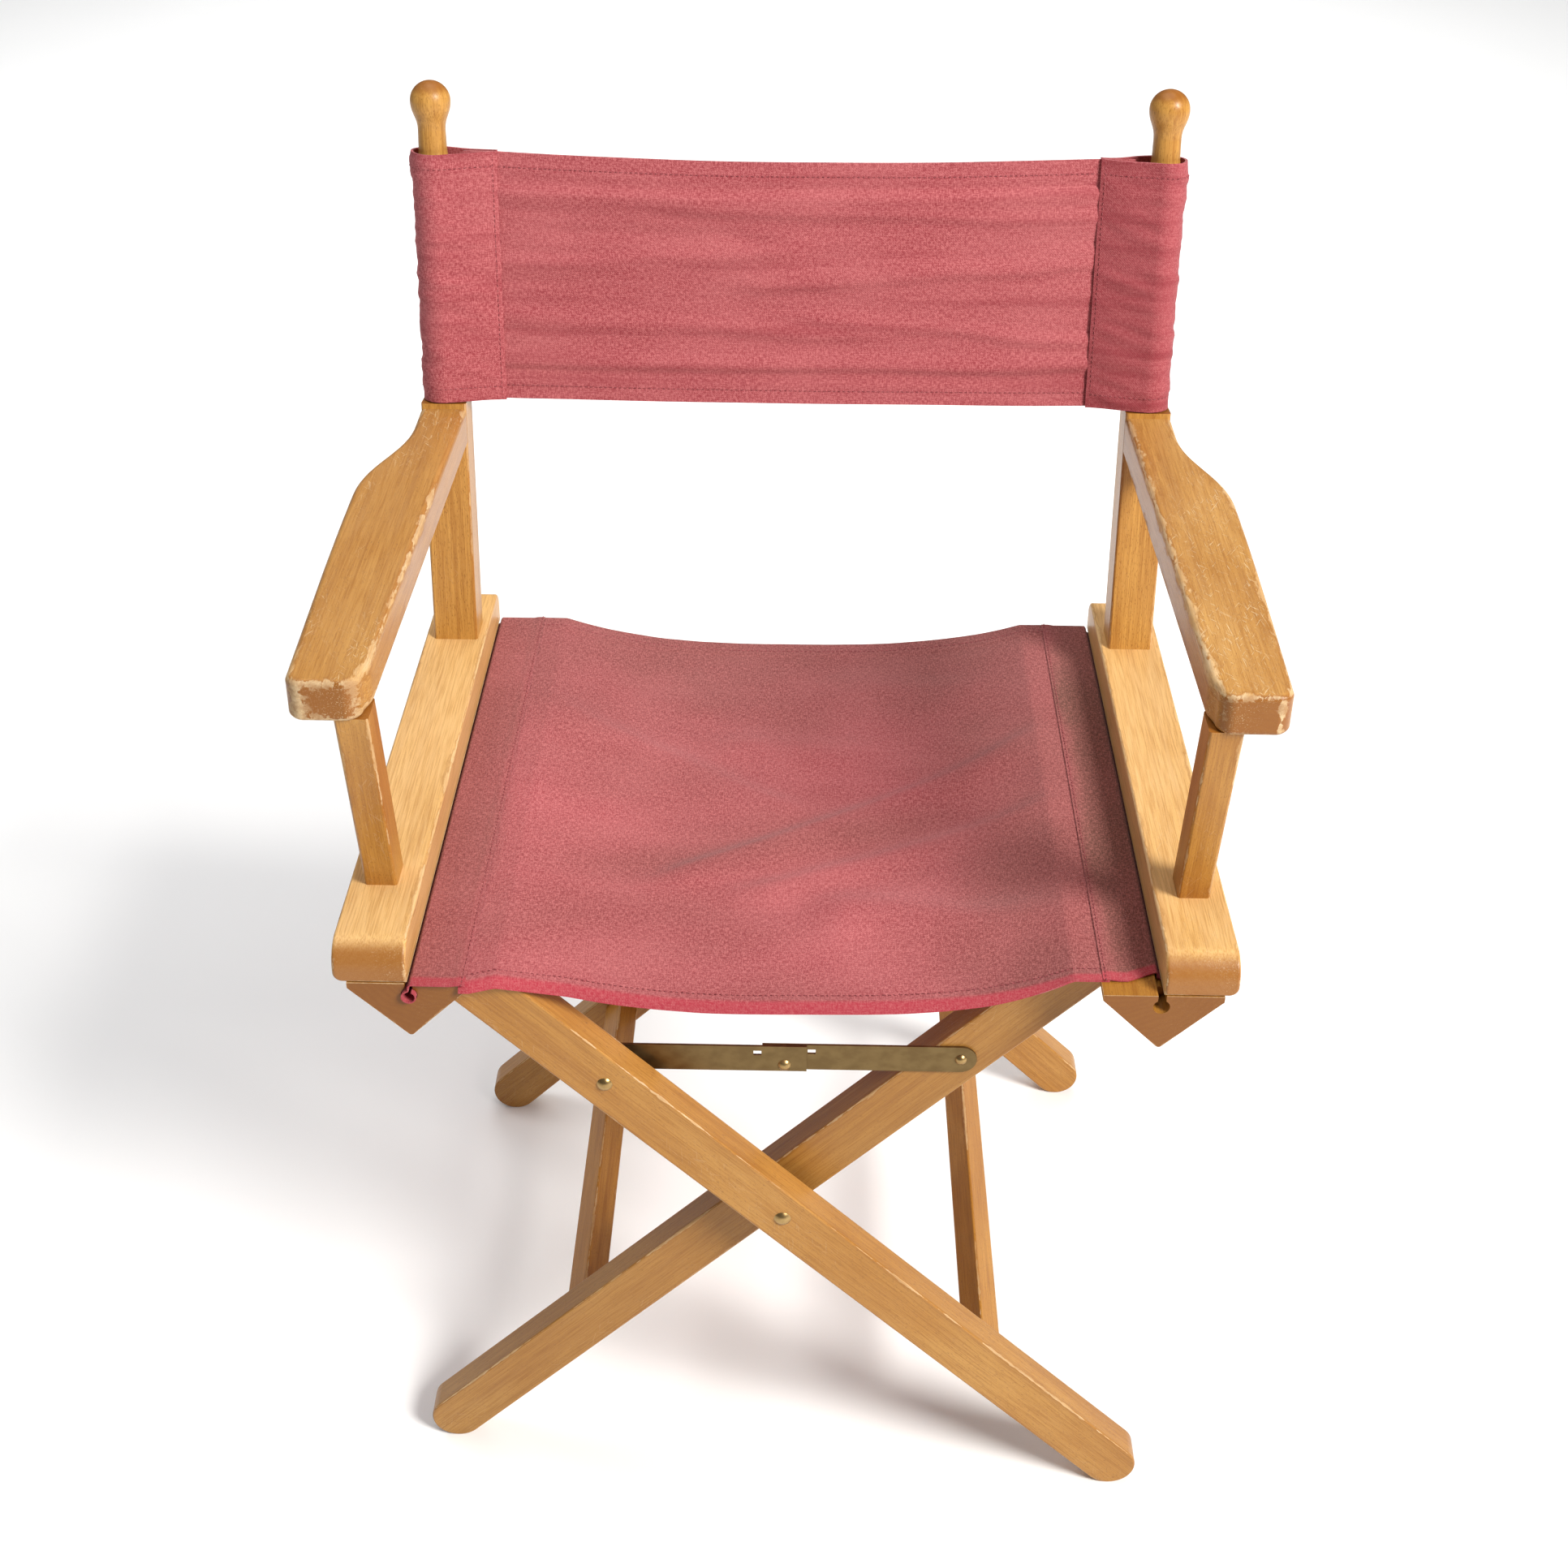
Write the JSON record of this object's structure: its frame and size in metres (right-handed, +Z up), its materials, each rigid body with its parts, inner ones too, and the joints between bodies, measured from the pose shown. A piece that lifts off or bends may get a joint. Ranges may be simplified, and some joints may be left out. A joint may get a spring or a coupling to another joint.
{
  "type": "folding chair",
  "caption": "Folding wooden armchair with crossed legs, a sagging canvas seat, a canvas back in sleeves on ball-topped posts, flat armrests and a brass folding stay.",
  "frame": {"origin": "on the floor, under the middle of the chair's bounding box", "axes": "+Z up, the sitter faces -Y, +X to the right of someone who looks at the chair from its front"},
  "size_m": [0.572, 0.43, 0.87],
  "materials": {
    "beech": "worn satin varnish",
    "canvas": "faded plain weave",
    "brass": "dull antique"
  },
  "bodies": {
    "side_left": {"seat_board_left": "beech", "front_post_left": "beech", "back_post_left": "beech", "armrest_left": "beech", "armrest_screw_left": "brass", "hinge_upper_leaves_left": "brass", "hinge_pins_left": "brass", "hinge_upper_screws_left": "brass", "back_canvas": "canvas"},
    "outer_frame": {"outer_leg_front": "beech", "outer_leg_rear": "beech", "outer_stretcher": "beech", "seat_rail_left": "beech", "hinge_lower_leaves_left": "brass", "hinge_lower_screws_left": "brass", "seat_dowel_left": "beech", "pivot_bolts": "brass", "pivot_washers": "brass", "pivot_nuts": "brass", "stay_rivet_left": "brass", "seat_canvas": "canvas"},
    "inner_frame": {"inner_leg_front": "beech", "inner_leg_rear": "beech", "inner_stretcher": "beech", "seat_rail_right": "beech", "hinge_lower_leaves_right": "brass", "hinge_lower_screws_right": "brass", "seat_dowel_right": "beech", "stay_rivet_right": "brass"},
    "strap_left": {"stay_strap_left": "brass", "stay_middle_rivet_front": "brass"},
    "strap_right": {"stay_strap_right": "brass", "stay_middle_rivet_rear": "brass"},
    "side_right": {"seat_board_right": "beech", "front_post_right": "beech", "back_post_right": "beech", "armrest_right": "beech", "armrest_screw_right": "brass", "hinge_upper_leaves_right": "brass", "hinge_pins_right": "brass", "hinge_upper_screws_right": "brass"}
  },
  "joints": [
    {"name": "cross_pivot", "type": "hinge", "parent": "outer_frame", "child": "inner_frame", "pos_m": [0, 0, 0.251], "axis": [0, -1, 0], "range_deg": [0, 80], "deforming": ["seat_canvas", "back_canvas"]},
    {"name": "left_hinge", "type": "hinge", "parent": "side_left", "child": "outer_frame", "pos_m": [-0.2637, 0, 0.4465], "axis": [0, 1, 0], "range_deg": [0, 40]},
    {"name": "right_hinge", "type": "hinge", "parent": "inner_frame", "child": "side_right", "pos_m": [0.2637, 0, 0.4465], "axis": [0, 1, 0], "range_deg": [0, 40]},
    {"name": "stay_left", "type": "hinge", "parent": "outer_frame", "child": "strap_left", "pos_m": [-0.1108, 0, 0.36339], "axis": [0, -1, 0], "range_deg": [0, 126.15]},
    {"name": "stay_right", "type": "hinge", "parent": "inner_frame", "child": "strap_right", "pos_m": [0.1108, 0, 0.36339], "axis": [0, 1, 0], "range_deg": [0, 126.15]}
  ],
  "couplings": [
    {"joint": "left_hinge", "follows": "cross_pivot", "ratio": 0.5},
    {"joint": "right_hinge", "follows": "cross_pivot", "ratio": 0.5},
    {"joint": "stay_left", "follows": "cross_pivot", "ratio": 1.5768},
    {"joint": "stay_right", "follows": "cross_pivot", "ratio": 1.5768}
  ]
}
